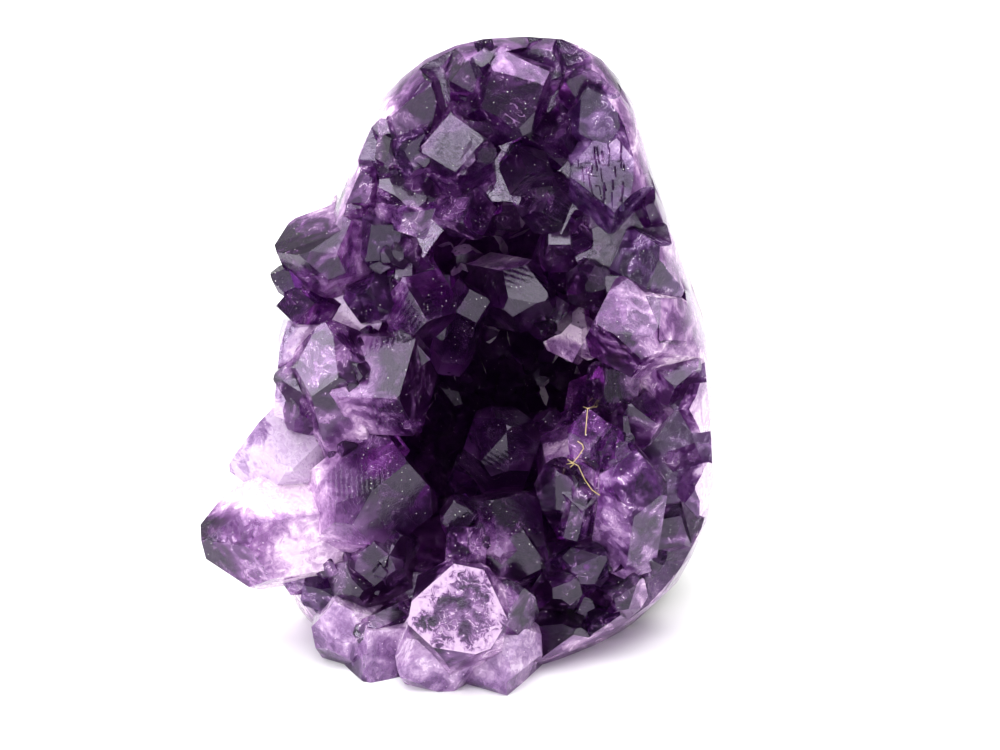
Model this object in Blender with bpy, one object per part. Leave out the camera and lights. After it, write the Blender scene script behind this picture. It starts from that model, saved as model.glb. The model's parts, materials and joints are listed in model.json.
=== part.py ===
"""A standing amethyst geode: a sawn-off stone egg, lined with one crust of quartz points.

The stone stands on its sawn base. Its open side faces -Y and a little upwards, +Z is up.
Places on the stone are given in millimetres from the foremost point of the base, and the
finished stone is then centred over the origin.
"""

import math
import random

import bmesh
import bpy
from mathutils import Matrix, Vector, noise
from mathutils.bvhtree import BVHTree

MM = 0.001

# The stone's outer form as level sections: height, then the left, right, front and back edge.
SECTIONS = (
    (-22, 4, 4, 44, 44),
    (-20, -14, 22, 26, 62),
    (-12, -34, 42, 8, 76),
    (0, -44, 50, -4, 83),
    (13, -47, 59, -6, 87),
    (30, -49, 65, -6, 90),
    (46, -50, 66.5, -4, 91),
    (78, -47, 63.5, 4, 88),
    (100, -40, 56, 10, 83),
    (116, -30, 51, 15, 78),
    (124, -27.5, 48, 18, 75),
    (139, -20.5, 43.5, 23, 68),
    (149, -12, 38, 29, 60),
    (154, -3, 31, 34, 54),
    (157.5, 8, 24, 41, 46),
)
BACK_ROUND, FOOT_ROUND, FRONT_ROUND = 2.15, 1.4, 3.2  # bluntness behind, and in front: low down, higher up
AROUND, UPWARDS = 34, 24  # facets around the stone's form, and from bottom to top

RIND = 5.5  # thickness of the rock behind the quartz
FLOOR = 9.0  # thickness of the rock foot under the quartz
RIND_FRONT, RIND_SLOPE = 42.0, 0.12  # where the rock shell begins, and its lean backwards
FOOT_FRONT = 30.0  # where the rock foot begins
QUARTZ = 13.0  # thickness of the milky layer that the points grow from
GAP = 0.3  # clearance between rock and quartz
LUMPS, LUMP_SIZE = 2.6, 21.0  # height and spacing of the lumps on the rock's back

OPEN_FRONT, OPEN_SLOPE = 15.0, 0.20  # where the quartz layer's open side stands, and its lean
OVERHANG, OVERHANG_TOP = 26.0, 112.0  # the left side isn't trimmed, up to this height

FACING = math.radians(24)  # the open side faces this far above level
RHOMB = math.radians(51.8)  # slope of quartz's rhombohedral faces from the level

# The large points, as one facing the open side sees them: the tip's place across, upwards
# and outwards from the opening, the way the point leans across and upwards, its tilt and
# spin in degrees, its width, and how far below its tip it is broken off.
POINTS = (
    (-15, 73.5, 7, 0.6, -0.4, 20, 15, 28, 0),
    (-45.5, 112, 0, -1.0, 0.05, 42, 0, 24, 0),
    (-17.5, 107, -4, -0.1, -0.3, 16, 20, 13, 0),
    (-8, 92.5, 0, 0.5, -0.8, 24, 70, 18, 0),
    (2.5, 100, -8, 0.2, 0.6, 30, 60, 11, 0),
    (22, 97.5, -9, 0.8, -0.2, 30, 40, 16, 0),
    (30.5, 120, -11, 0.3, 0.8, 38, 100, 14, 0),
    (21.5, 152.5, 3, 0.9, 0.3, 38, 110, 21, 0),
    (-2, 142.5, 2, -0.2, 0.9, 34, 30, 17, 0),
    (3.5, 141, 1, 0.3, 0.9, 30, 90, 14, 0),
    (-8.5, 138, 0, 0.6, 0.6, 36, 40, 10, 0),
    (-17, 137, -2, -0.2, 0.5, 25, 70, 10, 0),
    (-7, 150, 0, 0.4, 0.3, 30, 20, 19, 0),
    (-19, 145, -4, -0.4, 0.3, 28, 85, 13, 0),
    (-30, 130, -5, -0.7, 0.5, 34, 50, 13, 0),
    (-31, 120, -5, -0.5, -0.2, 26, 15, 10, 0),
    (-12, 119.5, -1, 0.2, -0.6, 30, 90, 15, 0),
    (-7, 117, 0, 0.6, -0.2, 40, 10, 11, 3),
    (-22, 116, -3, -0.3, 0.5, 24, 65, 14, 0),
    (3, 158, -2, 0.0, 0.4, 26, 46, 14, 0),
    (22, 160, -4, 0.2, 0.4, 30, 13, 12, 0),
    (35, 155, -4, 0.2, 0.3, 30, 27, 15, 0),
    (32, 149, -1, -0.3, 0.5, 34, 30, 18, 0),
    (41, 143, 0, -0.2, 0.3, 20, 100, 20, 0),
    (38.5, 119.5, 4, 0.1, -1.0, 38, 95, 24, 0),
    (51, 110, -2, 0.2, 0.3, 24, 75, 18, 0),
    (52, 122, -6, 0.4, 0.2, 26, 20, 10, 0),
    (33.5, 92, 3, -0.9, 0.1, 42, 0, 24, 0),
    (51, 97.5, 1, 0.2, 0.8, 34, 90, 14, 0),
    (58, 94, -8, 0.3, 0.2, 26, 45, 8, 0),
    (54, 76, -3, 0.1, -0.4, 26, 90, 17, 0),
    (37, 80, -6, -0.2, 0.4, 30, 70, 13, 0),
    (32, 70.5, -2, -0.1, 0.9, 58, 30, 11, 0),
    (38, 66, -3, 0.2, 0.9, 56, 80, 10, 0),
    (24.5, 54, -2, -0.2, 0.4, 26, 45, 14, 0),
    (44, 60, 1, 0.1, 0.9, 48, 30, 18, 0),
    (50, 66, -3, 0.5, -0.2, 30, 100, 14, 0),
    (60, 60, -12, 0.4, 0.2, 30, 35, 12, 0),
    (56, 43, -8, 0.4, 0.3, 30, 20, 15, 0),
    (31, 44.5, -1, 0.1, -0.5, 30, 90, 15, 0),
    (37, 33, -3, 0.7, 0.3, 36, 15, 13, 0),
    (29, 27, -3, 0.3, 0.3, 30, 55, 10, 0),
    (46, 27, -7, 0.5, 0.4, 40, 80, 14, 0),
    (52, 30, -10, 0.6, -0.4, 50, 10, 12, 0),
    (41, 17, -6, 0.3, 0.3, 32, 35, 13, 0),
    (29, 14, -1, 0.2, 0.2, 26, 95, 17, 0),
    (12, 65.5, -8, 0.1, 0.3, 20, 75, 20, 0),
    (8, 47, -1, -0.2, 0.7, 34, 90, 20, 0),
    (16, 39, -1, 0.3, 0.5, 34, 30, 15, 0),
    (2, 40.5, 2, 0.1, 0.9, 45, 90, 11, 0),
    (-1.5, 46.5, -3, -0.2, 0.6, 34, 35, 11, 0),
    (-13.5, 56.5, 4, 0.6, 0.5, 38, 56, 28, 0),
    (-22, 36.5, 1, -0.1, 0.3, 24, 20, 14, 0),
    (-15, 38, 0, 0.3, 0.3, 30, 75, 12, 0),
    (-29, 31, -2, -0.2, 0.4, 30, 100, 12, 0),
    (-29, 67, -7, 0.3, 0.3, 34, 36, 10, 0),
    (-21, 65, -8, 0.4, 0.2, 38, 75, 9, 0),
    (-34, 92, -2, -0.2, 1.0, 52, 0, 20, 0),
    (-47, 78, -8, -0.9, 0.1, 50, 10, 12, 0),
    (-47.5, 104, -8, -1.0, 0.2, 56, 50, 8, 0),
    (-46, 96, -7, -0.8, 0.0, 50, 90, 11, 0),
    (-54, 63, -6, -0.6, 0.4, 42, 0, 22, 3),
    (-68.5, 36, -4, -1.0, -0.14, 72, 24, 25, 3),
    (-40, 25, -7, -0.5, 0.1, 36, 25, 13, 0),
    (-46, 26, -10, -0.8, 0.0, 50, 70, 7, 0),
    (-32, 21, -3, -0.2, 0.4, 34, 30, 18, 0),
    (-23, 13.5, 0, -0.2, 0.4, 28, 70, 18, 0),
    (0.5, 25.5, 19, 0.1, 1.0, 22, 20, 25, 12),
    (16, 25, 5, 0.5, 0.6, 46, 75, 14, 0),
    (-9, 13, 9, -0.2, 0.4, 24, 40, 22, 3),
    (12, 12.5, 8, 0.1, 0.4, 24, 100, 21, 3),
    (24.5, 92, -14, 0.1, -0.4, 24, 100, 10, 0),
    (20.5, 90, -14, -0.1, -0.3, 20, 80, 8, 0),
    (11, 84, -15, 0.0, 0.2, 20, 30, 8, 0),
)

# The small points that fill what the large ones leave open.
SMALL_SPACING = 11.5
SMALL_WIDTHS = (9.0, 14.0)
SMALL_SEED = 7


def clear_scene():
    for obj in list(bpy.data.objects):
        bpy.data.objects.remove(obj)


def collection(name):
    made = bpy.data.collections.new(name)
    bpy.context.scene.collection.children.link(made)
    return made


def section_at(height):
    """The left, right, front and back edge of the stone at a height, in millimetres."""
    for low, high in zip(SECTIONS, SECTIONS[1:]):
        if height <= high[0]:
            share = (height - low[0]) / (high[0] - low[0])
            return [a + share * (b - a) for a, b in zip(low[1:], high[1:])]
    return list(SECTIONS[-1][1:])


def lumps_at(place):
    """How far the rock stands out in lumps here. The sawn and polished front has none."""
    fade = min(max((place.y - 52) / 22, 0), 1)
    return fade * LUMPS * noise.noise(place / LUMP_SIZE)


def stone_form(name, inset=0.0, overhang=0.0):
    """The stone's closed egg form, its wall moved inwards by inset.

    The overhang widens its left side and its foot.
    """
    bm = bmesh.new()
    bmesh.ops.create_uvsphere(bm, u_segments=AROUND, v_segments=UPWARDS, radius=1)
    low, high = SECTIONS[0][0], SECTIONS[-1][0]
    for vert in bm.verts:
        height = low + (high - low) * (vert.co.z + 1) / 2
        left, right, front, back = section_at(height)
        left -= overhang * min(max((OVERHANG_TOP - height) / 8, 0), 1)
        if vert.co.x < 0.35:
            front -= overhang / 2 * min(max((60 - height) / 30, 0), 1)
        middle = Vector(((left + right) / 2, (front + back) / 2 + 3))
        turn = Vector((vert.co.x, vert.co.y))
        if turn.length < 1e-6:
            vert.co = Vector((*middle, height - inset * vert.co.z)) * MM
            continue
        turn.normalize()
        front_round = FOOT_ROUND + (FRONT_ROUND - FOOT_ROUND) * min(max(height / 45, 0), 1)
        power = 2 / (BACK_ROUND if turn.y > 0 else front_round)
        wide = max((right if turn.x > 0 else -left) + (-middle.x if turn.x > 0 else middle.x) - inset, 0.2)
        deep = max((back - middle.y if turn.y > 0 else middle.y - front) - inset, 0.2)
        place = Vector(
            (
                middle.x + math.copysign(wide * abs(turn.x) ** power, turn.x),
                middle.y + math.copysign(deep * abs(turn.y) ** power, turn.y),
                height - inset * vert.co.z,
            )
        )
        outwards = Vector((turn.x, turn.y, 0.4 * vert.co.z)).normalized()
        vert.co = (place + outwards * lumps_at(place)) * MM
    bmesh.ops.recalc_face_normals(bm, faces=bm.faces)
    bmesh.ops.triangulate(bm, faces=bm.faces, quad_method="FIXED")
    return new_object(name, bm)


def new_object(name, bm, matrix=None):
    mesh = bpy.data.meshes.new(name)
    bm.to_mesh(mesh)
    bm.free()
    obj = bpy.data.objects.new(name, mesh)
    if matrix is not None:
        obj.matrix_world = matrix
    helpers.objects.link(obj)
    obj.hide_render = True
    obj.display_type = "WIRE"
    return obj


def block(name, low, high, lean=0.0):
    """A box between two corners in millimetres. Its lean moves each point back by that share of its height."""
    bm = bmesh.new()
    bmesh.ops.create_cube(bm, size=1)
    for vert in bm.verts:
        share = vert.co + Vector((0.5, 0.5, 0.5))
        vert.co = Vector([a + s * (b - a) for a, b, s in zip(low, high, share)])
        vert.co.y += lean * vert.co.z
        vert.co *= MM
    return new_object(name, bm)


def combine(obj, operation, other, solver="EXACT"):
    """Adds a Boolean of one object or of a whole collection."""
    modifier = obj.modifiers.new(operation.title(), "BOOLEAN")
    modifier.operation = operation
    modifier.solver = solver
    if isinstance(other, bpy.types.Collection):
        modifier.operand_type = "COLLECTION"
        modifier.collection = other
    else:
        modifier.object = other


def made_solid(name, obj):
    """The object's mesh with its modifiers applied, as a helper of its own."""
    bpy.context.view_layer.update()
    graph = bpy.context.evaluated_depsgraph_get()
    mesh = bpy.data.meshes.new_from_object(obj.evaluated_get(graph))
    solid = bpy.data.objects.new(name, mesh)
    helpers.objects.link(solid)
    solid.hide_render = True
    solid.display_type = "WIRE"
    return solid


def keep_largest(mesh):
    """Keeps the largest closed surface: pockets sealed in by the points are filled, loose chips go."""
    bm = bmesh.new()
    bm.from_mesh(mesh)
    left = set(bm.faces)
    bodies = []
    while left:
        body, reach = set(), [left.pop()]
        while reach:
            face = reach.pop()
            body.add(face)
            near = {other for edge in face.edges for other in edge.link_faces} & left
            left -= near
            reach += near
        bodies.append(body)
    bodies.sort(key=len)
    for body in bodies[:-1]:
        bmesh.ops.delete(bm, geom=list(body), context="FACES")
    bm.to_mesh(mesh)
    bm.free()


def rock_form(name, grown=0.0):
    """The rock: a shell behind the quartz and a foot under it. grown makes the cutter that leaves the gap."""
    below = -5 if grown else 0
    shell = stone_form(name + "_shell", inset=-grown * 6)
    in_front = block(name + "_front", (-200, -200, -100), (200, RIND_FRONT - grown, 300), RIND_SLOPE)
    combine(shell, "DIFFERENCE", in_front)
    foot = stone_form(name + "_foot", inset=1.0 - grown)
    combine(foot, "DIFFERENCE", block(name + "_above", (-200, -200, FLOOR + 12), (200, 200, 300)))
    combine(foot, "DIFFERENCE", block(name + "_before", (-200, -200, -100), (200, FOOT_FRONT - grown, 300)))
    combine(shell, "UNION", foot)
    hollow = stone_form(name + "_hollow", inset=RIND + grown)
    combine(hollow, "DIFFERENCE", block(name + "_floor", (-200, -200, -100), (200, 200, FLOOR + grown)))
    combine(shell, "DIFFERENCE", hollow)
    combine(shell, "DIFFERENCE", block(name + "_ground", (-200, -200, -100), (200, 200, below)))
    return made_solid(name, shell)


def quartz_layer():
    """The layer of milky quartz that the points grow from."""
    layer = stone_form("layer", inset=-0.5)
    cavity = stone_form("cavity", inset=RIND + QUARTZ)
    combine(cavity, "DIFFERENCE", block("cavity_floor", (-200, -200, -100), (200, 200, FLOOR + QUARTZ)))
    combine(layer, "DIFFERENCE", cavity)
    opening = block("opening", (-200, -200, -100), (200, OPEN_FRONT, 300), lean=OPEN_SLOPE)
    combine(layer, "DIFFERENCE", opening)
    combine(layer, "DIFFERENCE", block("below", (-200, -200, -100), (200, 200, -6)))
    return made_solid("quartz_layer", layer)


def facing_frame():
    """Turns places seen from the open side (across, upwards, outwards) into the stone's own."""
    return Matrix.Rotation(math.pi / 2 - FACING, 4, "X")


def opening_at(upwards):
    """How far out the opening stands at a height, as seen from the open side."""
    return 0.20 * upwards


def quartz_point(name, tip, axis, width, length, spin, rng, broken=0.0):
    """A quartz point: a hexagonal prism whose end is cut by three large and three small faces."""
    radius = width / 2 * MM
    bm = bmesh.new()
    bmesh.ops.create_cone(
        bm,
        cap_ends=True,
        segments=6,
        radius1=radius / math.cos(math.pi / 6),
        radius2=radius / math.cos(math.pi / 6),
        depth=length * MM,
        matrix=Matrix.Translation((0, 0, -length * MM / 2)) @ Matrix.Rotation(math.pi / 6, 4, "Z"),
    )
    bmesh.ops.scale(bm, verts=bm.verts, vec=(rng.uniform(0.86, 1.12), rng.uniform(0.86, 1.12), 1))
    minor = rng.choice((0.08, 0.2, 0.34))
    for side in range(6):
        turn = math.radians(60 * side)
        normal = Vector((math.cos(turn) * math.sin(RHOMB), math.sin(turn) * math.sin(RHOMB), math.cos(RHOMB)))
        back = rng.uniform(0.0, 0.06) if side % 2 == 0 else minor + rng.uniform(0.0, 0.12)
        slice_off(bm, normal * back * radius, normal)
    if broken:
        rough = Vector((rng.uniform(-0.4, 0.4), rng.uniform(-0.4, 0.4), 1)).normalized()
        slice_off(bm, Vector((0, 0, -broken * MM)), rough)
    bmesh.ops.recalc_face_normals(bm, faces=bm.faces)
    upright = Vector((0, 0, 1)).rotation_difference(axis).to_matrix().to_4x4()
    matrix = Matrix.Translation(tip * MM) @ upright @ Matrix.Rotation(math.radians(spin), 4, "Z")
    return new_object(name, bm, matrix)


def slice_off(bm, point, normal):
    """Cuts away what lies beyond a plane and closes the cut with a face."""
    geometry = bm.verts[:] + bm.edges[:] + bm.faces[:]
    cut = bmesh.ops.bisect_plane(bm, geom=geometry, plane_co=point, plane_no=normal, clear_outer=True)
    edges = [piece for piece in cut["geom_cut"] if isinstance(piece, bmesh.types.BMEdge)]
    if edges:
        bmesh.ops.holes_fill(bm, edges=edges)


def large_points(grown, rng):
    """Places the points of the list, and returns where they stand as seen from the open side."""
    turned = facing_frame()
    taken = []
    for number, (across, upwards, out, lean_x, lean_y, tilt, spin, width, broken) in enumerate(POINTS):
        lean = Vector((lean_x, lean_y, 0)).normalized() * math.sin(math.radians(tilt))
        axis = turned @ Vector((lean.x, lean.y, math.cos(math.radians(tilt))))
        seen = Vector((across, upwards, out + opening_at(upwards)))
        length = max(36.0, 1.9 * width)
        point = quartz_point(
            f"point_{number:02d}", turned @ seen, axis, width, length, spin, rng, broken
        )
        move_to(point, grown)
        taken.append((seen, lean, width))
    return taken


def move_to(obj, target):
    for owner in obj.users_collection:
        owner.objects.unlink(obj)
    target.objects.link(obj)


def small_points(layer, taken, grown, rng):
    """Fills the layer's open face with small points, on a loose grid seen from the open side."""
    turned = facing_frame()
    tree = BVHTree.FromObject(layer, bpy.context.evaluated_depsgraph_get())
    inwards = (turned @ Vector((0, 0, -1))).normalized()
    count = 0
    rows = int(175 / (SMALL_SPACING * 0.87))
    for row in range(rows):
        for column in range(-7, 8):
            across = (column + 0.5 * (row % 2)) * SMALL_SPACING + rng.uniform(-2, 2)
            upwards = row * SMALL_SPACING * 0.87 + rng.uniform(-2, 2)
            width = rng.uniform(*SMALL_WIDTHS)
            wobble = Vector((rng.uniform(-1, 1), rng.uniform(-1, 1), rng.uniform(-1, 1)))
            spin = rng.uniform(0, 60)
            seen = Vector((across, upwards, 90))
            hit, normal, _, _ = tree.ray_cast((turned @ seen) * MM, inwards)
            if hit is None or any(covers(spot, across, upwards) for spot in taken):
                continue
            axis = (normal * 1.0 - inwards * 0.55 + wobble * 0.35).normalized()
            tip = hit / MM + axis * width * rng.uniform(0.6, 1.1)
            if tip.x < section_at(tip.z)[0] - 4:
                continue
            count += 1
            point = quartz_point(f"small_{count:03d}", tip, axis, width, 3.2 * width, spin, rng)
            move_to(point, grown)
    return count


def covers(spot, across, upwards):
    """True if a large point already stands here, as seen from the open side."""
    seen, lean, width = spot
    near = Vector((across - seen.x + lean.x * width * 0.6, upwards - seen.y + lean.y * width * 0.6))
    return near.length < width * 0.55


def finished(name, solid, material):
    """Shows a solid as a finished piece."""
    obj = bpy.data.objects.new(name, solid.data)
    parts.objects.link(obj)
    obj.data.materials.clear()
    obj.data.materials.append(material)
    return obj


def finish(name, colour, roughness):
    material = bpy.data.materials.new(name)
    material.use_nodes = True
    shader = material.node_tree.nodes["Principled BSDF"]
    shader.inputs["Base Color"].default_value = (*colour, 1)
    shader.inputs["Roughness"].default_value = roughness
    shader.inputs["Metallic"].default_value = 0
    return material


def centre_over_origin(objects):
    """Moves the finished stone so that the middle of its box stands over the origin."""
    corners = [obj.matrix_world @ vert.co for obj in objects for vert in obj.data.vertices]
    middle_x = (min(c.x for c in corners) + max(c.x for c in corners)) / 2
    middle_y = (min(c.y for c in corners) + max(c.y for c in corners)) / 2
    for obj in objects:
        obj.data.transform(Matrix.Translation((-middle_x, -middle_y, 0)))
    return Vector((middle_x, middle_y, 0))


clear_scene()
parts = collection("amethyst_geode")
helpers = collection("cutters")
helpers.hide_render = True
points = collection("points")
points.hide_render = True

rng = random.Random(SMALL_SEED)
rock = rock_form("rock")
layer = quartz_layer()
standing = large_points(points, rng)
small_points(layer, standing, points, rng)

crust = made_solid("crust", layer)
# EXACT leaves holes where this many points cross at once, so the crust's Booleans are MANIFOLD.
combine(crust, "UNION", points, "MANIFOLD")
combine(crust, "INTERSECT", stone_form("trimmed", overhang=OVERHANG), "MANIFOLD")
combine(crust, "DIFFERENCE", rock_form("rock_and_gap", grown=GAP), "MANIFOLD")
combine(crust, "DIFFERENCE", block("ground", (-200, -200, -100), (200, 200, 0)), "MANIFOLD")
crust = made_solid("crust_solid", crust)
keep_largest(crust.data)

rind = finished("rock_rind", rock, finish("basalt", (0.42, 0.40, 0.38), 0.85))
crystals = finished("amethyst_crust", crust, finish("amethyst", (0.25, 0.10, 0.38), 0.12))
centre_over_origin((rind, crystals))
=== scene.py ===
"""Looks of the standing amethyst geode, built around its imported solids."""

import json
import math
import random

import bmesh
import bpy
from mathutils import Matrix, Vector, noise
from mathutils.bvhtree import BVHTree

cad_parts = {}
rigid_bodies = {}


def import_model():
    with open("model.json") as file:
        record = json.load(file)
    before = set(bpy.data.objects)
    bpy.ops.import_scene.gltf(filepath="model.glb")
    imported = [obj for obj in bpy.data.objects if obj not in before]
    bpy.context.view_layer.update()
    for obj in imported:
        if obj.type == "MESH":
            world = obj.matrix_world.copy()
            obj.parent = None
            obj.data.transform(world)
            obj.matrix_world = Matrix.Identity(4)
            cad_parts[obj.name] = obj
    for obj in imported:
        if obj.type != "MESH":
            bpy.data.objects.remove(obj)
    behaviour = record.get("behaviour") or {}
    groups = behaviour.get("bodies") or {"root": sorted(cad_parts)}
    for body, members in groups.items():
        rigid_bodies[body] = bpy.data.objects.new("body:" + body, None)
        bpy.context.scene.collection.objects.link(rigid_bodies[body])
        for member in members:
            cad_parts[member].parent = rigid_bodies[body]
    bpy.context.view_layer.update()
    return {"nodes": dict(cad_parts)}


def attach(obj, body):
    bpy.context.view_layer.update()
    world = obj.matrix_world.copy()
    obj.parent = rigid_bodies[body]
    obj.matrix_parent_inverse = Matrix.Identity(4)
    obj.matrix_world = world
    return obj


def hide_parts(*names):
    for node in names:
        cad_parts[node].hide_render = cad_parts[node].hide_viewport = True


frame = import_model()

MM = 0.001
FACING = math.radians(24)  # the open side faces this far above level
FOREMOST = Vector((0.00015, -0.0402, 0))  # the base's foremost point, where places on the open side start


# Places

def seen(across, upwards, out):
    """A place given in millimetres as the open side shows it: across, upwards and outwards."""
    return Matrix.Rotation(math.pi / 2 - FACING, 4, "X") @ Vector((across, upwards, out)) * MM + FOREMOST


def flat_place(place):
    """Where the open side shows a place: across, upwards and outwards in millimetres."""
    return Matrix.Rotation(FACING - math.pi / 2, 3, "X") @ (place - FOREMOST) / MM


OUTWARDS = (seen(0, 0, 1) - seen(0, 0, 0)).normalized()


def on_open_side(tree, across, upwards):
    """Where a line into the open side first meets the crystals, and which way the face there looks."""
    place, normal, _, _ = tree.ray_cast(seen(across, upwards, 60), -OUTWARDS)
    return place, normal


def between(value, low, high):
    """How far a value has come from low to high, from 0 to 1."""
    return min(max((value - low) / (high - low), 0), 1)


# Materials

def linear(code):
    """An sRGB hex colour as the linear colour that a shader takes."""
    parts = [int(code[i : i + 2], 16) / 255 for i in (0, 2, 4)]
    return (*[c / 12.92 if c <= 0.04045 else ((c + 0.055) / 1.055) ** 2.4 for c in parts], 1)


class Nodes:
    """The shader nodes of one new material."""

    def __init__(self, name):
        self.material = bpy.data.materials.new(name)
        self.material.use_nodes = True
        self.tree = self.material.node_tree
        self.shader = self.tree.nodes["Principled BSDF"]
        self.output = self.tree.nodes["Material Output"]

    def add(self, kind, *values, out=0, stops=(), **settings):
        """A node with its settings, and its shown inputs fed in order; gives one of its shown outputs."""
        made = self.tree.nodes.new("ShaderNode" + kind)
        for key, value in settings.items():
            setattr(made, key, value)
        for number, (place, colour) in enumerate(stops):
            elements = made.color_ramp.elements
            element = elements[number] if number < len(elements) else elements.new(place)
            element.position = place
            element.color = colour
        for socket, value in zip([s for s in made.inputs if s.enabled], values):
            self.feed(socket, value)
        return made.outputs[out] if isinstance(out, str) else [s for s in made.outputs if s.enabled][out]

    def feed(self, socket, value):
        """Feeds an input with a value, or with the output of a node."""
        if isinstance(value, bpy.types.NodeSocket):
            self.tree.links.new(value, socket)
        else:
            socket.default_value = value

    def look(self, **inputs):
        """Feeds the shader's inputs, with an underscore for each space in a name."""
        for name, value in inputs.items():
            self.feed(self.shader.inputs[name.replace("_", " ")], value)
        return self.material

    def millimetres(self):
        """The piece's own places in millimetres, for patterns of a real size."""
        own = self.add("TexCoord", out="Object")
        return self.add("Mapping", own, (0, 0, 0), (0, 0, 0), (1 / MM,) * 3)


# Amethyst: clear quartz with natural faces. The eye sees deep violet tips, lilac milk towards the rock,
# wisps and healed cracks inside, faint growth steps, edges worn white and specks of dust. The white edges are
# partly wear and partly painted highlight; two points and one narrow face are painted white as glint and
# sheen, and the hollow's crystals are darkened as painted shade.

AMETHYST_IOR = 1.544
ABSORPTION = 56  # per metre: 20 mm of quartz lets two thirds of red and blue through, two fifths of green
RELIEF = 0.3 * MM  # the height of the finest surface forms


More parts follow.
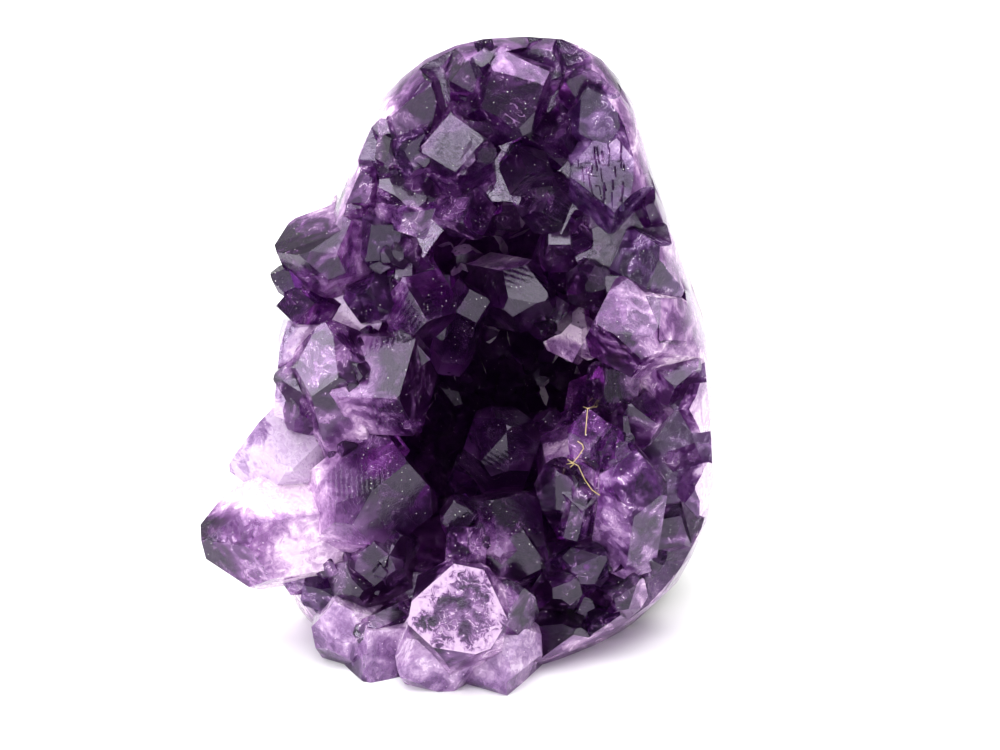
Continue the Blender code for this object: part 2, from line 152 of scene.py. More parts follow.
def amethyst():
    n = Nodes("amethyst")
    place = n.millimetres()
    depth, pale_glint_and_sheen, tone_and_hollow_shade, prism, edge, cut, broken = [
        n.add("Attribute", out="Fac", attribute_name=mark)
        for mark in ("depth", "pale_glint_and_sheen", "tone_and_hollow_shade", "prism", "edge", "cut", "broken")
    ]

    # Clouds of 6.5 mm and wisps of 2.2 mm. A noise takes its place, scale, detail, roughness, lacunarity
    # and distortion.
    clouds = n.add("TexNoise", place, 1 / 6.5, 2, 0.6, 2, 0.6)
    wisps = n.add("TexNoise", place, 1 / 2.2, 4, 0.75, 2, 1.4)
    cloudy = n.add("Math", clouds, 0.5, operation="SUBTRACT")
    wispy = n.add("Math", wisps, 0.5, operation="SUBTRACT")

    # Milk grows with the distance from a crystal's tip, in veils and fine grain
    far = n.add("Math", cloudy, 11, depth, operation="MULTIPLY_ADD")
    rooted = n.add("MapRange", far, 3, 17, 0.17, 1)
    deep = n.add("MapRange", far, 9, 24, 0, 0.3)
    milk_and_painted_light = n.add("Math", pale_glint_and_sheen, rooted, deep, operation="MULTIPLY_ADD")
    thick = n.add("MapRange", clouds, 0.44, 0.75, 0, 0.5)
    veiled = n.add("MapRange", pale_glint_and_sheen, 0, 0.4, 0.22, 1)
    milk_and_painted_light = n.add("Math", thick, veiled, milk_and_painted_light, operation="MULTIPLY_ADD")
    grained = n.add("MapRange", pale_glint_and_sheen, 0, 0.8, 0.16, 0.62)
    smooth = n.add("MapRange", cut, 0, 1, 1, 0.4)
    grained = n.add("Math", grained, smooth, operation="MULTIPLY")
    milk_and_painted_light = n.add("Math", wispy, grained, milk_and_painted_light, operation="MULTIPLY_ADD", use_clamp=True)
    mottle = n.add("MapRange", wisps, 0.38, 0.62, 0.8, 1)
    milk_and_painted_light = n.add("Math", milk_and_painted_light, mottle, operation="MULTIPLY")

    # Healed cracks: thin wavy lines about 5 mm apart, on natural faces only
    crack = n.add("TexNoise", place, 1 / 5.5, 2, 0.55, 2, 2)
    crack = n.add("Math", crack, 0.5, operation="SUBTRACT")
    crack = n.add("Math", crack, operation="ABSOLUTE")
    crack = n.add("MapRange", crack, 0.004, 0.014, 1, 0)
    here = n.add("MapRange", clouds, 0.48, 0.56)
    crack = n.add("Math", crack, here, operation="MULTIPLY")
    plain = n.add("MapRange", pale_glint_and_sheen, 0, 0.5, 0.4, 0.95)
    crack = n.add("Math", crack, plain, operation="MULTIPLY")
    natural = n.add("Math", 1, cut, operation="SUBTRACT")
    crack = n.add("Math", crack, natural, operation="MULTIPLY")
    milk_and_painted_light = n.add("Math", milk_and_painted_light, crack, operation="MAXIMUM")

    # Edges worn white in places, which partly stands for painted highlights along them, and the frosted
    # patches of the broken face
    worn_and_highlit = n.add("MapRange", wisps, 0.4, 0.56, 0.1, 0.85)
    worn_and_highlit = n.add("Math", edge, worn_and_highlit, operation="MULTIPLY")
    milk_and_painted_light = n.add("Math", milk_and_painted_light, worn_and_highlit, operation="MAXIMUM")
    frost = n.add("Mix", 0.4, wisps, clouds)
    rim = n.add("MapRange", broken, 0.66, 1, 0, 0.19)
    frost = n.add("Math", frost, rim, operation="ADD")
    frost = n.add("MapRange", frost, 0.53, 0.68)
    inside = n.add("MapRange", broken, 0, 0.4, 0, 0.8)
    frost = n.add("Math", frost, inside, operation="MULTIPLY")
    milk_and_painted_light = n.add("Math", milk_and_painted_light, frost, operation="MAXIMUM")

    # Clear to milky; some crystals are darker than their neighbours and a few are bluish, and those in the
    # hollow are darkened as painted shade
    body = n.add("ValToRGB", milk_and_painted_light, stops=(
        (0.0, linear("5e2a78")),
        (0.16, linear("8c49a6")),
        (0.4, linear("b981ca")),
        (0.7, linear("dab3df")),
        (1.0, linear("f3deef")),
    ))
    dark_and_hollow_shade = n.add("MapRange", tone_and_hollow_shade, 0.45, 1, 0, 0.6)
    body = n.add("Mix", dark_and_hollow_shade, body, linear("2c1040"), data_type="RGBA")
    bluish = n.add("MapRange", tone_and_hollow_shade, 0, 0.3, 0.35, 0)
    body = n.add("Mix", bluish, body, linear("5d5a94"), data_type="RGBA")

    # The sawn side turns to white rind towards the rock, most of all low down
    inwards, upwards = [n.add("SeparateXYZ", place, out=axis) for axis in "YZ"]
    behind = n.add("Math", upwards, -0.12, inwards, operation="MULTIPLY_ADD")
    behind = n.add("Math", cloudy, 9, behind, operation="MULTIPLY_ADD")
    rind = n.add("MapRange", behind, -11, -4)
    rind = n.add("Math", rind, cut, operation="MULTIPLY")
    low = n.add("Math", wispy, 60, upwards, operation="MULTIPLY_ADD")
    low = n.add("MapRange", low, 70, 120, 1, 0.12)
    rind = n.add("Math", rind, low, operation="MULTIPLY")
    body = n.add("Mix", rind, body, linear("efe8ea"), data_type="RGBA")

    # Black stains on the rind and pale dust all over lie in cells of 1.1 mm, and a cell's own random
    # values say how large its speck is
    middle, cell = [n.add("TexVoronoi", place, 1 / 1.1, out=out) for out in ("Distance", "Color")]
    by_red, by_green = [n.add("SeparateColor", cell, out=channel) for channel in ("Red", "Green")]
    stain = n.add("MapRange", by_green, 0.45, 1, 0, 0.42)
    stain = n.add("Math", middle, stain, operation="LESS_THAN")
    here = n.add("MapRange", clouds, 0.45, 0.55)
    stain = n.add("Math", stain, here, operation="MULTIPLY")
    stain = n.add("Math", stain, rind, operation="MULTIPLY")
    body = n.add("Mix", stain, body, linear("231f22"), data_type="RGBA")
    # edges whitened: partly wear, partly painted highlight
    body = n.add("Mix", worn_and_highlit, body, linear("efe2f2"), data_type="RGBA")
    dust = n.add("MapRange", by_red, 0.1, 1, 0, 0.115)
    dust = n.add("Math", middle, dust, operation="LESS_THAN")
    body = n.add("Mix", dust, body, linear("fdeefb"), data_type="RGBA")

    # Clear where there is no milk; dust, edges that are worn or whitened as painted highlight, and rind let
    # hardly any light through
    clear = n.add("MapRange", milk_and_painted_light, 0.08, 0.9, 0.95, 0.14)
    dull = n.add("Math", dust, worn_and_highlit, operation="MAXIMUM")
    rinded = n.add("Math", rind, 0.85, operation="MULTIPLY")
    dull = n.add("Math", dull, rinded, operation="MAXIMUM")
    undulled = n.add("Math", 1, dull, operation="SUBTRACT")
    clear = n.add("Math", clear, undulled, operation="MULTIPLY")
    milky = n.add("MapRange", milk_and_painted_light, 0.3, 1, 0, 0.22)
    hazy = n.add("MapRange", clouds, 0.3, 0.7, 0.03, 0.14)
    rough = n.add("Math", milky, hazy, operation="ADD")
    rough = n.add("Math", broken, 0.15, rough, operation="MULTIPLY_ADD")

    # Growth steps 1.4 mm apart across the long faces, low terraces, and splinters on the broken face.
    # A bump takes its strength, distance, filter width and height.
    steps = n.add("Math", depth, wisps, operation="ADD")
    steps = n.add("Math", steps, 4.5, operation="MULTIPLY")
    steps = n.add("Math", steps, operation="SINE")
    steps = n.add("Math", steps, prism, operation="MULTIPLY")
    terraces = n.add("TexNoise", place, 1 / 6, 1, 0.5, 2, 0.8)
    terraces = n.add("Math", terraces, 12, operation="MULTIPLY")
    terraces = n.add("Math", terraces, operation="FLOOR")
    relief = n.add("Math", steps, 0.06, operation="MULTIPLY")
    relief = n.add("Math", terraces, 0.2, relief, operation="MULTIPLY_ADD")
    splinters = n.add("MapRange", broken, 0, 0.5, 0.3, 5)
    relief = n.add("Math", wisps, splinters, relief, operation="MULTIPLY_ADD")

    n.feed(n.output.inputs["Volume"], n.add("VolumeAbsorption", linear("d37ed4"), ABSORPTION))
    return n.look(
        Base_Color=body, Roughness=rough, Transmission_Weight=clear, IOR=AMETHYST_IOR,
        Specular_Tint=linear("e8dff4"), Normal=n.add("Bump", 0.5, RELIEF, 0.1, relief),
    )


# Fibre: a blade of dry grass split to a thread. The eye sees a matt gold line with paler stretches.

def dry_grass():
    n = Nodes("dry_grass_fibre")
    stretches = n.add("TexNoise", n.millimetres(), 1 / 1.5, 2, 0.55)
    gold = n.add("Mix", stretches, linear("8f7434"), linear("e0cd95"), data_type="RGBA")
    return n.look(Base_Color=gold, Roughness=0.45)


# Basalt: grey volcanic rock with a rough broken skin. The eye sees lumps in warm greys, rust, small gas
# holes, a whitish band where the quartz begins, and saw marks on the cut base.

def basalt():
    n = Nodes("basalt")
    place = n.millimetres()
    inner, base = [n.add("Attribute", out="Fac", attribute_name=mark) for mark in ("inner", "base")]

    # Lumps of 7 mm, grains of 0.8 mm, dark fields of 30 mm, rust of 13 mm and gas holes 2.4 mm apart
    lumps = n.add("TexNoise", place, 1 / 7, 5, 0.65)
    grains = n.add("TexNoise", place, 1 / 0.8, 4, 0.7)
    fields = n.add("TexNoise", place, 1 / 30, 4, 0.6, 2, 0.8)
    rust = n.add("TexNoise", place, 1 / 13, 2, 0.55)
    hole = n.add("TexVoronoi", place, 1 / 2.4)
    hole = n.add("MapRange", hole, 0.16, 0.26, 1, 0)
    colour = n.add("ValToRGB", lumps, stops=(
        (0.28, linear("3d3a35")),
        (0.44, linear("5d574e")),
        (0.56, linear("7c7467")),
        (0.68, linear("a39a88")),
        (0.8, linear("c9c0b0")),
    ))

    # A whitish band where the quartz begins
    inwards, upwards = [n.add("SeparateXYZ", place, out=axis) for axis in "YZ"]
    behind = n.add("Math", upwards, -0.12, inwards, operation="MULTIPLY_ADD")
    lumpy = n.add("Math", lumps, 0.5, operation="SUBTRACT")
    behind = n.add("Math", lumpy, 12, behind, operation="MULTIPLY_ADD")

    # Each colour lies over those before it, with its share
    coats = (
        (n.add("MapRange", fields, 0.38, 0.56, 0.8, 0), "48433c"),
        (n.add("MapRange", rust, 0.55, 0.68, 0, 0.55), "7d6148"),
        # dark in the gas holes: painted shade in the pits
        (n.add("Math", hole, 0.7, operation="MULTIPLY"), "26241f"),
        (n.add("MapRange", grains, 0.36, 0.44, 0.5, 0), "2b2924"),
        (n.add("Math", base, 0.45, operation="MULTIPLY"), "8b857b"),
        (n.add("MapRange", behind, 2, 6, 0.9, 0), "e6dfdd"),
        (inner, "e9e2e6"),
    )
    for share, code in coats:
        colour = n.add("Mix", share, colour, linear(code), data_type="RGBA")

    # Relief of lumps, grains and holes; the base keeps a fifth of it and has saw marks 2.2 mm apart
    height = n.add("Math", lumps, 0.6, operation="MULTIPLY")
    height = n.add("Math", grains, 0.8, height, operation="MULTIPLY_ADD")
    height = n.add("Math", hole, -0.5, height, operation="MULTIPLY_ADD")
    kept = n.add("MapRange", base, 0, 1, 1, 0.2)
    height = n.add("Math", height, kept, operation="MULTIPLY")
    saw = n.add("TexWave", place, 1 / 7, 0.6, 2, out="Fac", bands_direction="X")
    saw = n.add("Math", saw, base, operation="MULTIPLY")
    height = n.add("Math", saw, 0.15, height, operation="MULTIPLY_ADD")

    rough = n.add("MapRange", grains, 0.3, 0.7, 0.7, 0.95)
    return n.look(Base_Color=colour, Roughness=rough, Normal=n.add("Bump", 0.8, 1 * MM, 0.1, height))


# White card: a matt coated board. The eye sees an even white ground that fades into the background.

def white_card():
    n = Nodes("white_floor")
    return n.look(Base_Color=linear("fbfbfc"), Roughness=0.9, Specular_IOR_Level=0.1)


# Meshes

def mesh_object(name, bm, material=None, home=None):
    """A new object with a finished mesh, in the scene or in a collection of its own."""
    mesh = bpy.data.meshes.new(name)
    bm.to_mesh(mesh)
    bm.free()
    if material:
        mesh.materials.append(material)
    obj = bpy.data.objects.new(name, mesh)
    (home or bpy.context.scene.collection).objects.link(obj)
    return obj


def node_mesh(name):
    """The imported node's mesh, welded."""
    bm = bmesh.new()
    bm.from_mesh(frame["nodes"][name].data)
    bmesh.ops.remove_doubles(bm, verts=bm.verts, dist=1e-6)
    bmesh.ops.recalc_face_normals(bm, faces=bm.faces)
    return bm


# Quartz points

END_SLOPE = math.radians(51.8)  # slope of quartz's end faces from the level
SEAM_SHARE = 0.24  # how often a seam bears a small point, per 9 mm
FOLD = math.radians(-22)  # edges folded inwards by more than this are seams
SHORTEST_SEAM = 1.5 * MM
LOWEST = 0.5 * MM  # small points stay above this height

# The open side's rim is an arch: its middle, and its reach sideways and upwards from there, in millimetres
RIM_MIDDLE = (6, 40)
RIM_REACH = (46, 118)

# Two points in the hollow that are painted white as glints: tip and direction as the open side shows them,
# and width, in millimetres
GLINTS = (((28.5, 82, -6), (0.1, -0.75, 0.65), 13), ((35, 84, -6), (0.45, -0.6, 0.65), 8))
# their paleness of 9 makes them show white: a painted glint
PAINTED_GLINT = (0.3, 9)  # their tone and paleness

# The large face that nature etched: its middle, where its ridges lie, in millimetres, and how many are tried
ETCHED = (35, 127)
ETCHED_ACROSS = (29, 41)
ETCHED_UPWARDS = (120, 136)
RIDGES = 44

# The sharp edges' wear: how wide a flat it leaves, and the share of the edges left so far that get it
WEAR = ((0.5 * MM, 0.08), (0.3 * MM, 0.3), (0.2 * MM, 1.0))


def quartz_point(width, length, rng):
    """A quartz point along +Z, its tip at the origin: a hexagonal prism ended by six faces."""
    bm = bmesh.new()
    radius = width / 2 / math.cos(math.pi / 6)
    below = Matrix.Translation((0, 0, -length / 2)) @ Matrix.Rotation(math.pi / 6, 4, "Z")
    bmesh.ops.create_cone(
        bm, cap_ends=True, segments=6, radius1=radius, radius2=radius, depth=length, matrix=below,
    )
    bmesh.ops.scale(bm, verts=bm.verts, vec=(rng.uniform(0.8, 1.2), rng.uniform(0.8, 1.2), 1))
    for side in range(6):
        turn = math.radians(60 * side)
        level = math.sin(END_SLOPE)
        normal = Vector((math.cos(turn) * level, math.sin(turn) * level, math.cos(END_SLOPE)))
        back = rng.uniform(0, 0.06) if side % 2 == 0 else rng.uniform(0.1, 0.4)
        cut = bmesh.ops.bisect_plane(
            bm, geom=bm.verts[:] + bm.edges[:] + bm.faces[:],
            plane_co=normal * back * width / 2, plane_no=normal, clear_outer=True,
        )
        edges = [e for e in cut["geom_cut"] if isinstance(e, bmesh.types.BMEdge)]
        if edges:
            bmesh.ops.holes_fill(bm, edges=edges)
    bmesh.ops.recalc_face_normals(bm, faces=bm.faces)
    return bm


def stand(point, tip, axis, spin=0):
    """Turns a point's length along an axis and puts its tip at a place."""
    turn = Vector((0, 0, 1)).rotation_difference(axis).to_matrix().to_4x4()
    point.transform(Matrix.Translation(tip) @ turn @ Matrix.Rotation(spin, 4, "Z"))
    return point


def scatter(rng, spread):
    """A random lean, the same in all directions."""
    return Vector([rng.gauss(0, spread) for _ in range(3)])


def bears_points(flat):
    """Whether small points grow here: 6 mm inside the rim, off the broken crystal and the foot."""
    above = max(flat.y - RIM_MIDDLE[1], 0) / RIM_REACH[1]
    reach = RIM_REACH[0] * math.sqrt(max(1 - above ** 2, 0)) - 6
    on_broken_crystal = flat.y < 36 and abs(flat.x) < 20
    return abs(flat.x - RIM_MIDDLE[0]) <= reach and not on_broken_crystal and flat.y >= 12


def seam_points(bm, rng):
    """Small points out of the seams between the crystals."""
    cut_faces = polished_faces(bm)
    for edge in bm.edges:
        if edge.calc_face_angle_signed(0) > FOLD or edge.calc_length() < SHORTEST_SEAM:
            continue
        if any(f in cut_faces for f in edge.link_faces):
            continue
        for _ in range(1 + int(edge.calc_length() / (9 * MM))):
            if rng.random() > SEAM_SHARE:
                continue
            width = rng.uniform(2.5, 8.0) * MM
            place = edge.verts[0].co.lerp(edge.verts[1].co, rng.uniform(0.15, 0.85))
            if not bears_points(flat_place(place)):
                continue
            outwards = sum((f.normal for f in edge.link_faces), Vector()).normalized()
            axis = (outwards + scatter(rng, 0.45)).normalized()
            tip = place + axis * width * rng.uniform(0.25, 0.7)
            point = quartz_point(width, 2.2 * width, rng)
            stand(point, tip, axis, rng.uniform(0, 6))
            if min(v.co.z for v in point.verts) < LOWEST:
                point.free()
            else:
                yield point


def deep_points(bm, rng):
    """Points that line the floor of the hollow, about 7 mm apart."""
    tree = BVHTree.FromBMesh(bm)
    for row in range(14):
        for column in range(9):
            across = -18 + column * 7 + 3.5 * (row % 2) + rng.uniform(-2, 2)
            upwards = 34 + row * 6.4 + rng.uniform(-2, 2)
            place, normal = on_open_side(tree, across, upwards)
            width = rng.uniform(5, 10) * MM
            lean = scatter(rng, 0.3)
            spin = rng.uniform(0, 6)
            if place is None or flat_place(place).z > -13 or hollowness(place) > 1.1:
                continue
            axis = (normal * 0.6 + OUTWARDS * 0.7 + lean).normalized()
            point = quartz_point(width, 2.4 * width, rng)
            tip = place + axis * width * rng.uniform(0.4, 0.9)
            yield stand(point, tip, axis, spin)


def glint_points():
    """The points in the hollow that get painted white as glints."""
    for tip, axis, width in GLINTS:
        point = quartz_point(width * MM, 2.5 * width * MM, random.Random(3))
        yield stand(point, seen(*tip), seen(*axis) - seen(0, 0, 0))


def etch_ridges(bm, rng):
    """Low ridges on the etched face, three upright ones for each level one."""
    tree = BVHTree.FromBMesh(bm)
    _, normal = on_open_side(tree, *ETCHED)
    up = (Vector((0, 0, 1)) - normal * normal.z).normalized()
    side = up.cross(normal)
    for index in range(RIDGES):
        upright = index % 4 != 0
        long = rng.uniform(1.2, 5.0) * MM if upright else rng.uniform(0.8, 2.2) * MM
        across = rng.uniform(*ETCHED_ACROSS)
        upwards = rng.uniform(*ETCHED_UPWARDS)
        deep = rng.uniform(0.25, 0.4) * MM
        spin = Matrix.Rotation(rng.gauss(0, 0.12), 4, "Z")
        place, facing = on_open_side(tree, across, upwards)
        if facing.dot(normal) < 0.99:
            continue
        ridge = bmesh.new()
        bmesh.ops.create_cube(ridge, size=1)
        bmesh.ops.scale(ridge, verts=ridge.verts, vec=(0.8 * MM, long, 0.8 * MM))
        bmesh.ops.rotate(ridge, verts=ridge.verts, matrix=Matrix.Rotation(math.radians(45), 3, "Y"))
        if not upright:
            bmesh.ops.rotate(ridge, verts=ridge.verts, matrix=Matrix.Rotation(math.radians(90), 3, "Z"))
        turn = Matrix((side, up, normal)).transposed().to_4x4()
        ridge.transform(Matrix.Translation(place - normal * deep) @ turn @ spin)
        yield ridge


def with_small_growth(bm):
    """The crust with all its small points and ridges, fused with it into one mesh."""
    rng = random.Random(11)
    growth = bpy.data.collections.new("growth")
    bpy.context.scene.collection.children.link(growth)
    for forms in (seam_points(bm, rng), deep_points(bm, rng), glint_points(), etch_ridges(bm, rng)):
        for form in forms:
            mesh_object("grown", form, home=growth)
    host = mesh_object("host", bm)
    union = host.modifiers.new("grown", "BOOLEAN")
    union.operation, union.solver = "UNION", "MANIFOLD"
    union.operand_type, union.collection = "COLLECTION", growth
    fused = bmesh.new()
    fused.from_object(host, bpy.context.evaluated_depsgraph_get())
    for obj in [host, *growth.objects]:
        bpy.data.objects.remove(obj)
    bpy.data.collections.remove(growth)
    bmesh.ops.remove_doubles(fused, verts=fused.verts, dist=2e-6)
    return fused


# Which faces are what

def polished_faces(bm):
    """The faces of the sawn, polished and hidden surfaces: they join the back with hardly a bend.

    The left side isn't sawn, so its faces are crystal faces where they lie far out.
    """
    reach = [f for f in bm.faces if f.calc_center_median().y > 12 * MM and f.normal.y > -0.5]
    found = set(reach)
    while reach:
        face = reach.pop()
        for edge in face.edges:
            bend = edge.calc_face_angle(0)
            for other in edge.link_faces:
                joins = 1e-5 < bend < math.radians(24) or other.normal.dot(face.normal) > 0.99999
                if joins and other not in found:
                    found.add(other)
                    reach.append(other)
    return {f for f in found if is_outside(f)}


def is_outside(face):
    """Whether a face looks away from the stone's middle and isn't one of the left side's crystal faces."""
    place = face.calc_center_median()
    overhangs = place.x < -30 * MM and 15 * MM < place.z < 118 * MM and place.y < 12 * MM
    return not overhangs and face.normal.dot(place - Vector((0.004, 0, 0.06))) > 0


def single_crystals(bm, cut_faces):
    """Groups the faces into single crystals: faces of one crystal meet in an outward edge."""
    left = {f for f in bm.faces if f not in cut_faces}
    for start in bm.faces:
        if start not in left:
            continue
        left.discard(start)
        group, reach = [], [start]
        while reach:
            face = reach.pop()
            group.append(face)
            for edge in face.edges:
                if len(edge.link_faces) == 2 and edge.calc_face_angle_signed(0) > -1e-4:
                    for other in edge.link_faces:
                        if other in left:
                            left.discard(other)
                            reach.append(other)
        yield group


def broken_face(bm, cut_faces):
    """The face of the crystal that is broken off at the foot: the largest one in front there."""
    near = []
    for face in bm.faces:
        flat = flat_place(face.calc_center_median())
        if face not in cut_faces and math.hypot(flat.x, flat.y - 21) < 9 and face.normal.y < 0:
            near.append(face)
    return max(near, key=lambda f: f.calc_area())


# How milky the quartz is

# The dark hollow is an oval, where crystals are darkened as painted shade: its middle, and its reach sideways
# and upwards, in millimetres
HOLLOW_MIDDLE = (10, 76)
HOLLOW_REACH = (26, 44)

# Places as the open side shows them: across, upwards and reach in millimetres, and how milky they are.
# Places that are darker instead come last. The spot at -39, 84 whitens the narrow face along the left edge:
# a painted sheen.
PALE_AND_SHEEN_SPOTS = (
    (-54, 59, 12, 4.0), (-46, 31, 10, 1.4), (-28, 12, 14, 0.36), (-8, 10, 14, 0.4),
    (3, 24, 12, 0.6), (15, 10, 12, 0.36), (-34, 76, 12, 0.35), (-39, 84, 7, 1.0),
    (-30, 146, 10, 2.2), (-28, 128, 9, 0.8), (-8, 160, 9, 0.45), (30, 158, 9, 0.4),
    (42, 140, 9, 0.7), (52, 108, 12, 0.6), (56, 76, 13, 0.8), (36, 127, 7, 0.4), (40, 50, 11, 0.5),
    (62, 55, 13, 1.5), (49, 98, 8, 0.5), (-10, 117, 6, 0.9), (28, 62, 7, 0.4),
    (46, 90, 9, 0.45), (-16, 96, 5, 0.4), (-18, 66, 7, 0.45), (-40, 22, 7, 0.6),
    (-66, 38, 9, -0.7), (-21, 49, 10, -0.2), (14, 140, 8, -0.15), (-46, 103, 8, -0.15), (30, 12, 8, -0.2),
)


def hollowness(place):
    """How far a place is from the middle of the hollow, where its rim is at about 1."""
    flat = flat_place(place)
    return math.hypot(*[(flat[i] - HOLLOW_MIDDLE[i]) / HOLLOW_REACH[i] for i in (0, 1)])


def paleness_and_sheen(place):
    """How milky the quartz is at a place, with one spot of painted sheen: 0 for clear, 1 and more for white.
    """
    flat = flat_place(place)
    amount = 0.24 * between(hollowness(place), 0.8, 1.8)
    for across, upwards, reach, much in PALE_AND_SHEEN_SPOTS:
        far = math.hypot(flat.x - across, flat.y - upwards) / reach
        share = much * between(1.6 - far, 0, 1)
        amount = max(amount, share) if much > 0 else amount + share
    return amount


# The amethyst piece

def mark_crystals(bm, cut_faces, rng):
    """Marks each crystal's faces with its tone and paleness, and each corner with its depth below the tip.
    Crystals in the hollow get a darker tone as painted shade, and the glint points so much paleness that they
    show white, a painted glint.
    """
    corners, marks = bm.loops.layers.float, bm.faces.layers.float
    glints = [seen(*tip) for tip, _, _ in GLINTS]
    for group in single_crystals(bm, cut_faces):
        mean = sum((f.normal * f.calc_area() for f in group), Vector())
        axis = mean.normalized() if mean.length > 0 else Vector((0, -1, 0))
        tip = max(v.co.dot(axis) for f in group for v in f.verts)
        middle = sum((f.calc_center_median() for f in group), Vector()) / len(group)
        light = paleness_and_sheen(middle)
        # the tone is random, but rises towards the middle of the hollow: painted shade of the recess
        shade = max(rng.random() * (1 - 0.7 * min(light, 1)), 1.5 - hollowness(middle))
        # the glint points are made white: a painted glint
        if any((v.co - glint).length < 1.5 * MM for glint in glints for f in group for v in f.verts):
            shade, light = PAINTED_GLINT
        for face in group:
            face[marks["tone_and_hollow_shade"]] = shade
            face[marks["prism"]] = 1.0 if abs(face.normal.dot(axis)) < 0.4 else 0.0
            for loop in face.loops:
                loop[corners["depth"]] = (tip - loop.vert.co.dot(axis)) / MM
                loop[corners["pale_glint_and_sheen"]] = 0.7 * paleness_and_sheen(loop.vert.co) + 0.3 * light


def mark_cut_faces(bm, cut_faces):
    """Marks the sawn faces: all of one tone, and clearer above 90 mm."""
    corners, marks = bm.loops.layers.float, bm.faces.layers.float
    for face in cut_faces:
        face[marks["cut"]] = 1.0
        face[marks["tone_and_hollow_shade"]] = 0.35
        face.smooth = True
        for loop in face.loops:
            place = loop.vert.co
            loop[corners["depth"]] = 12
            loop[corners["pale_glint_and_sheen"]] = max(paleness_and_sheen(place), 0.45 - 0.35 * between(place.z, 90 * MM, 130 * MM))


def mark_broken_face(bm, cut_faces):
    """Splits the broken face from its middle, so that its rim and its middle can look different."""
    broken = bm.loops.layers.float["broken"]
    face = broken_face(bm, cut_faces)
    rim = set(face.verts)
    for part in bmesh.ops.poke(bm, faces=[face])["faces"]:
        for loop in part.loops:
            loop[broken] = 1.0 if loop.vert in rim else 0.5


def wear_edges(bm, rng):
    """Bevels the sharp edges, few of them widely and the rest finely."""
    worn_and_highlit = bm.faces.layers.float["edge"]
    for width, share in WEAR:
        sharp = [
            e for e in bm.edges
            if e.calc_face_angle_signed(0) > math.radians(20) and e.calc_length() > 6 * width
            and not any(f[worn_and_highlit] > 0 for f in e.link_faces) and rng.random() < share
        ]
        made = bmesh.ops.bevel(bm, geom=sharp, offset=width, segments=1, affect="EDGES", clamp_overlap=True)
        # the bevel faces turn white in the material: partly wear, partly painted highlight
        for face in made["faces"]:
            face[worn_and_highlit] = 1.0
    bmesh.ops.delete(bm, geom=[e for e in bm.edges if not e.link_faces], context="EDGES")


def crust_piece(material):
    """The crust with its small growth, every face marked for the amethyst's looks."""
    bm = with_small_growth(node_mesh("amethyst_crust"))
    cut_faces = polished_faces(bm)
    grown_edges = [e for e in bm.edges if not any(f in cut_faces for f in e.link_faces)]
    bmesh.ops.dissolve_limit(bm, angle_limit=math.radians(0.4), verts=bm.verts, edges=grown_edges)
    for name in ("depth", "broken", "pale_glint_and_sheen"):
        bm.loops.layers.float.new(name)
    for name in ("tone_and_hollow_shade", "prism", "edge", "cut"):
        bm.faces.layers.float.new(name)
    cut_faces = polished_faces(bm)
    rng = random.Random(5)
    mark_crystals(bm, cut_faces, rng)
    mark_cut_faces(bm, cut_faces)
    mark_broken_face(bm, cut_faces)
    for edge in bm.edges:
        edge.smooth = all(f in cut_faces for f in edge.link_faces)
    wear_edges(bm, rng)
    crust = mesh_object("quartz_points", bm, material)
    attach(crust, "root")
    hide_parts("amethyst_crust")
    return crust


# The fibre: a thread caught on the crystals

FIBRE_RADIUS = 0.11 * MM

# Its strands as the open side shows them, across and upwards in millimetres
STRANDS = (
    ((33.5, 71.0), (31.9, 70.3), (31.6, 67.0), (31.3, 63.0)),
    ((34.2, 70.8), (31.9, 70.4), (30.6, 70.9)),
    ((29.4, 62.2), (30.6, 61.4), (30.9, 60.4), (29.6, 58.4), (28.2, 56.8), (26.4, 56.4)),
    ((27.0, 57.6), (28.4, 56.4), (27.4, 55.6)),
    ((27.6, 57.2), (29.6, 56.0), (31.2, 52.6), (33.0, 50.0), (35.4, 48.4)),
)


def strand_path(strand, tree, eye):
    """A strand's places on the crystals, bridging the narrow gaps between them."""
    aims = []
    for (ax, ay), (bx, by) in zip(strand, strand[1:]):
        for share in (step / 6 for step in range(6)):
            aims.append((seen(ax + share * (bx - ax), ay + share * (by - ay), 16) - eye).normalized())
    reach = [tree.ray_cast(eye, aim)[3] for aim in aims]
    for _ in range(3):
        reach = [min(reach[max(i - 1, 0) : i + 2]) * 0.5 + reach[i] * 0.5 for i in range(len(reach))]
    return [eye + aim * (far - 0.4 * MM) for aim, far in zip(aims, reach)]


def fibre_piece(crust, material):
    """Threads 0.2 mm thick with fine knots, laid on the crust where the front view shows them."""
    tree = BVHTree.FromObject(crust, bpy.context.evaluated_depsgraph_get())
    bm = bmesh.new()
    for strand in STRANDS:
        path = strand_path(strand, tree, EYE)
        rings = []
        for i, place in enumerate(path):
            along = (path[min(i + 1, len(path) - 1)] - path[max(i - 1, 0)]).normalized()
            side = along.cross(Vector((0.3, 1, 0.2))).normalized()
            other = along.cross(side)
            radius = FIBRE_RADIUS * (1.3 if i % 5 == 0 else 1.0)
            turns = [math.radians(60 * k) for k in range(6)]
            spokes = [side * math.cos(turn) + other * math.sin(turn) for turn in turns]
            rings.append([bm.verts.new(place + spoke * radius) for spoke in spokes])
        for a, b in zip(rings, rings[1:]):
            for k in range(6):
                bm.faces.new((a[k], a[k - 1], b[k - 1], b[k]))
        bm.faces.new(rings[0])
        bm.faces.new(rings[-1][::-1])
    bmesh.ops.recalc_face_normals(bm, faces=bm.faces)
    fibre = mesh_object("golden_fibre", bm, material)
    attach(fibre, "root")


# The rock piece

def roughened(vert):
    """How a point of the broken back moves: lumps and pits that fade out towards the quartz and the base."""
    quartz_fade = between(vert.co.y - 0.12 * vert.co.z, 6 * MM, 18 * MM)
    base_fade = min(vert.co.z / (4 * MM), 1)
    lump = noise.fractal(vert.co / (6.5 * MM), 0.9, 2.1, 5) * 1.2 * MM
    pit = min(noise.noise(vert.co / (3.4 * MM)) + 0.25, 0) * 3 * MM
    return vert.normal * quartz_fade * base_fade * (lump + pit)


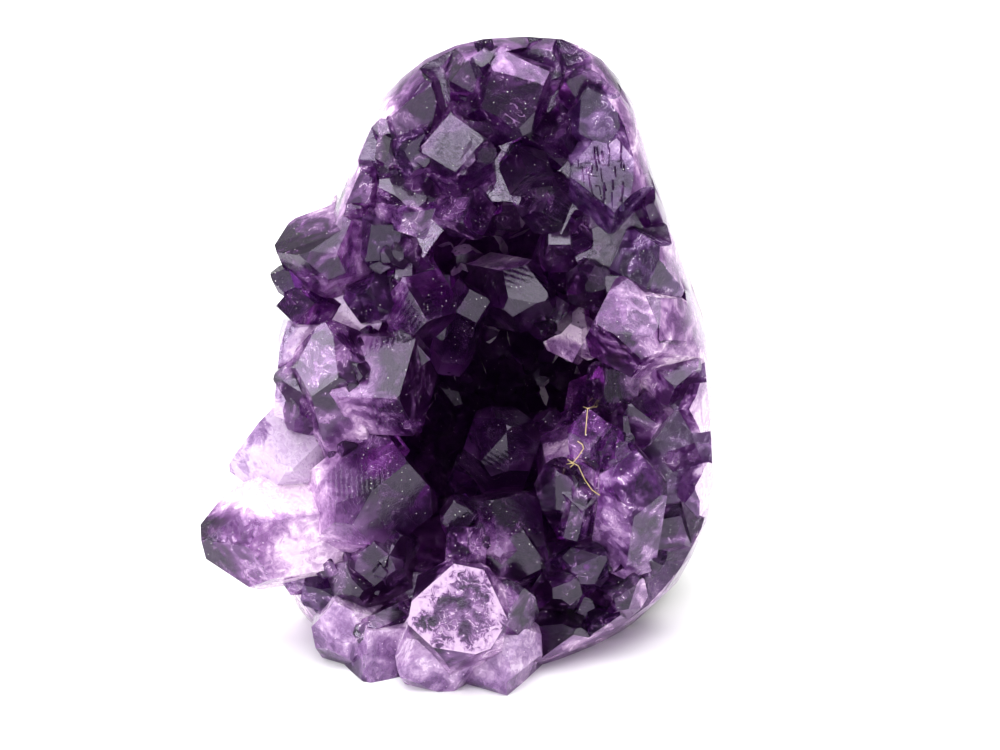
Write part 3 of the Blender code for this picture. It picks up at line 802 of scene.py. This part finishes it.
def rock_piece(material):
    """The rock, its broken back roughened; the sawn base and the side towards the quartz stay even."""
    bm = node_mesh("rock_rind")
    inner = bm.faces.layers.float.new("inner")
    base = bm.faces.layers.float.new("base")
    centre = Vector((0.005, 0, 0.07))
    for face in bm.faces:
        middle = face.calc_center_median()
        face[base] = 1.0 if face.normal.z < -0.9 and middle.z < 1 * MM else 0.0
        face[inner] = 1.0 if face.normal.dot(middle - centre) < 2 * MM and middle.z > 1 * MM else 0.0
        face.smooth = True
    bmesh.ops.triangulate(bm, faces=bm.faces)
    for longest, cuts in ((4 * MM, 2), (2.2 * MM, 1)):
        rough = [
            e for e in bm.edges
            if e.calc_length() > longest and not any(f[inner] or f[base] for f in e.link_faces)
        ]
        bmesh.ops.subdivide_edges(bm, edges=rough, cuts=cuts, use_grid_fill=True)
        bmesh.ops.triangulate(bm, faces=bm.faces)
    bm.normal_update()
    free = [v for v in bm.verts if all(f[inner] == 0 and f[base] == 0 for f in v.link_faces)]
    for vert, move in [(v, roughened(v)) for v in free]:
        vert.co += move
    for edge in bm.edges:
        edge.smooth = edge.calc_face_angle(0) < math.radians(50)
    back = mesh_object("volcanic_rock", bm, material)
    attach(back, "root")
    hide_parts("rock_rind")


# Stage: a white floor under soft light

MIDDLE = (0, 0, 70 * MM)  # what the lamps point at
EYE = seen(10, 78.75, 16 + 800)  # the camera stands 0.8 m in front of the open side
PICTURE_WIDTH = 0.25  # metres across the picture at that distance

# Area lamps: place, size in metres and power in watts
LAMPS = {
    "overhead": ((0.0, 0.0, 1.1), (1.5, 1.3), 25.0),
    "left": ((-0.9, -0.4, 0.4), (0.4, 0.6), 6.0),
    "front": ((-0.2, -0.8, 1.1), (0.9, 0.45), 3.4),
    "low": ((-0.07, -0.95, 0.1), (0.24, 0.2), 1.6),
}


def stage():
    """The white floor, an even white room and the lamps."""
    bm = bmesh.new()
    bmesh.ops.create_grid(bm, x_segments=1, y_segments=1, size=4)
    mesh_object("floor", bm, white_card())

    world = bpy.data.worlds.new("white_room")
    bpy.context.scene.world = world
    world.use_nodes = True
    background = world.node_tree.nodes["Background"]
    background.inputs["Color"].default_value = linear("ffffff")
    background.inputs["Strength"].default_value = 0.55

    for name, (place, size, power) in LAMPS.items():
        light = bpy.data.lights.new(name, "AREA")
        light.shape = "RECTANGLE"
        light.size, light.size_y = size
        light.energy = power
        lamp = bpy.data.objects.new(name, light)
        lamp.location = place
        lamp.rotation_euler = (Vector(MIDDLE) - Vector(place)).to_track_quat("-Z", "Y").to_euler()
        bpy.context.scene.collection.objects.link(lamp)


def camera():
    """The camera, square to the open side."""
    data = bpy.data.cameras.new("camera")
    data.sensor_width = 36
    data.lens = data.sensor_width * 0.8 / PICTURE_WIDTH
    obj = bpy.data.objects.new("camera", data)
    obj.location = EYE
    obj.rotation_euler = (math.pi / 2 - FACING, 0, 0)
    bpy.context.scene.collection.objects.link(obj)
    bpy.context.scene.camera = obj


camera()
stage()
fibre_piece(crust_piece(amethyst()), dry_grass())
rock_piece(basalt())

scene = bpy.context.scene
scene.view_settings.view_transform = "Standard"
scene.cycles.use_denoising = True
scene.cycles.max_bounces = 8
scene.cycles.transmission_bounces = 8
scene.cycles.diffuse_bounces = 3
scene.cycles.glossy_bounces = 4
scene.cycles.transparent_max_bounces = 16
